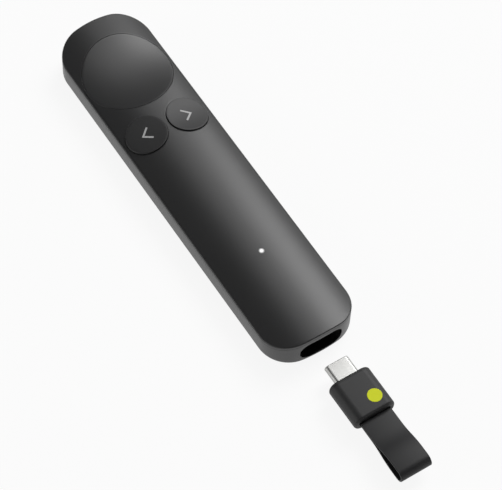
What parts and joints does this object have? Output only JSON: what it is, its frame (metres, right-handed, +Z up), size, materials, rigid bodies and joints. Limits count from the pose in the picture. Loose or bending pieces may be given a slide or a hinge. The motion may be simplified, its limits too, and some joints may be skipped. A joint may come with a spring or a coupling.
{
  "type": "wireless presentation clicker",
  "caption": "Slim crowned presentation remote with a dished main button, back and next buttons, and a strapped plug-in receiver that stores in its end.",
  "frame": {"origin": "centre of the remote's flat underside", "axes": "+Z up through the buttons, +Y along the remote towards the main button, +X to the next button's side"},
  "size_m": [0.0308, 0.1837, 0.0125],
  "materials": {
    "body_plastic": "satin graphite moulded ABS",
    "button_plastic": "satin graphite moulded ABS",
    "arrow_white": "light grey moulded inlay",
    "inner_black": "black moulded plastic",
    "switch_ivory": "ivory nylon",
    "board_green": "glass-filled board with solder resist",
    "steel": "plain steel",
    "led_lens": "clear moulded acrylic",
    "battery_foil": "laminated foil pouch",
    "foam": "adhesive foam",
    "receiver_plastic": "fine-textured dark grey ABS",
    "badge_yellow": "yellow-green moulded inlay",
    "strap_rubber": "dark grey silicone band"
  },
  "bodies": {
    "remote": {"lower_shell": "body_plastic", "top_cover": "body_plastic", "main_switch": "inner_black", "back_switch": "inner_black", "next_switch": "inner_black", "main_board": "board_green", "board_screws": "steel", "radio_shield": "steel", "processor_chip": "inner_black", "motion_sensor": "inner_black", "antenna": "switch_ivory", "status_led": "led_lens", "light_pipe": "led_lens", "battery_pad": "foam", "battery_pouch": "battery_foil", "battery_leads": "inner_black", "battery_plug": "switch_ivory", "battery_socket": "switch_ivory", "vibration_motor": "steel", "bay_liner": "inner_black", "charging_socket_shell": "steel", "charging_socket_tongue": "inner_black"},
    "main_button": {"main_button": "button_plastic", "main_switch_plunger": "switch_ivory"},
    "back_button": {"back_button": "button_plastic", "back_arrow_mark": "arrow_white", "back_switch_plunger": "switch_ivory"},
    "next_button": {"next_button": "button_plastic", "next_arrow_mark": "arrow_white", "next_switch_plunger": "switch_ivory"},
    "receiver": {"receiver_sleeve": "receiver_plastic", "receiver_nose": "receiver_plastic", "receiver_plug_shell": "steel", "receiver_plug_core": "inner_black", "receiver_board": "board_green", "receiver_chip": "inner_black", "receiver_badge": "badge_yellow", "strap_loop": "strap_rubber", "strap_pin": "steel"}
  },
  "joints": [
    {"name": "main_button_press", "type": "slide", "parent": "remote", "child": "main_button", "axis": [0, 0, -1], "range_m": [0, 0.0004], "stiffness_N_per_m": 500},
    {"name": "back_button_press", "type": "slide", "parent": "remote", "child": "back_button", "axis": [0, 0, -1], "range_m": [0, 0.00035], "stiffness_N_per_m": 500},
    {"name": "next_button_press", "type": "slide", "parent": "remote", "child": "next_button", "axis": [0, 0, -1], "range_m": [0, 0.00035], "stiffness_N_per_m": 500},
    {"name": "receiver_slide", "type": "slide", "parent": "remote", "child": "receiver", "axis": [0, 1, 0], "range_m": [0, 0.0283]}
  ]
}
